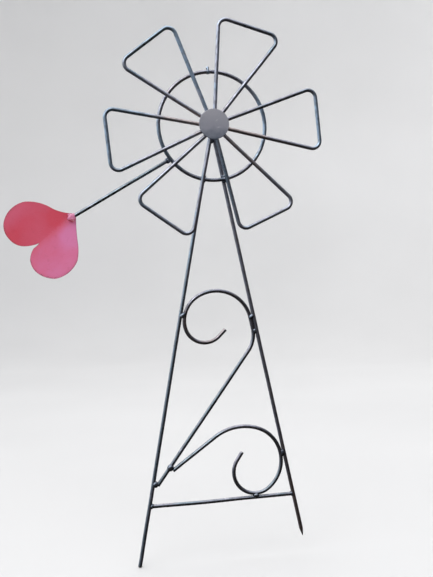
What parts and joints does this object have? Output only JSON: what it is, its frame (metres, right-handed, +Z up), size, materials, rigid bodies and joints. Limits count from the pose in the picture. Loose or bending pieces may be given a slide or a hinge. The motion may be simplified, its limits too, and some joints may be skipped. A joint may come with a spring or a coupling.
{
  "type": "garden wind spinner",
  "caption": "Garden stake of bent and welded round bar with scrolls and a heart tail, carrying a flat wire wheel that turns on a bolt",
  "frame": {"origin": "midway between the legs at the soil line, which is the underside of the cross bar at the left leg, in the plane of the legs", "axes": "+Z up, +Y from front to back along the wheel's axis, +X to the viewer's right when facing the wheel"},
  "size_m": [0.5237, 0.0493, 0.8981],
  "materials": {
    "iron_bar": "satin dark oxide and clear coat over hand-bent steel bar, faint brown at the bends",
    "weld": "uneven dark weld metal under the same coat as the bars",
    "disc": "smooth satin grey",
    "heart_paint": "satin red-pink enamel",
    "hardware": "zinc plated, dulled outdoors"
  },
  "bodies": {
    "frame": {"left_leg": "iron_bar", "right_leg": "iron_bar", "cross_bar": "iron_bar", "upper_scroll": "iron_bar", "lower_scroll": "iron_bar", "ring": "iron_bar", "tail_rod": "iron_bar", "heart": "heart_paint", "heart_weld": "heart_paint", "bearing_tube": "iron_bar", "frame_welds": "weld"},
    "wheel": {"hub_disc": "disc", "blade_1": "iron_bar", "blade_2": "iron_bar", "blade_3": "iron_bar", "blade_4": "iron_bar", "blade_5": "iron_bar", "blade_6": "iron_bar", "hub_welds": "weld", "axle_bolt": "hardware", "front_collar": "hardware", "front_washer": "hardware", "rear_washer": "hardware", "lock_nut": "hardware"}
  },
  "joints": [
    {"name": "wheel_spin", "type": "hinge", "parent": "frame", "child": "wheel", "pos_m": [0, 0, 0.6275], "axis": [0, -1, 0], "continuous": true}
  ]
}
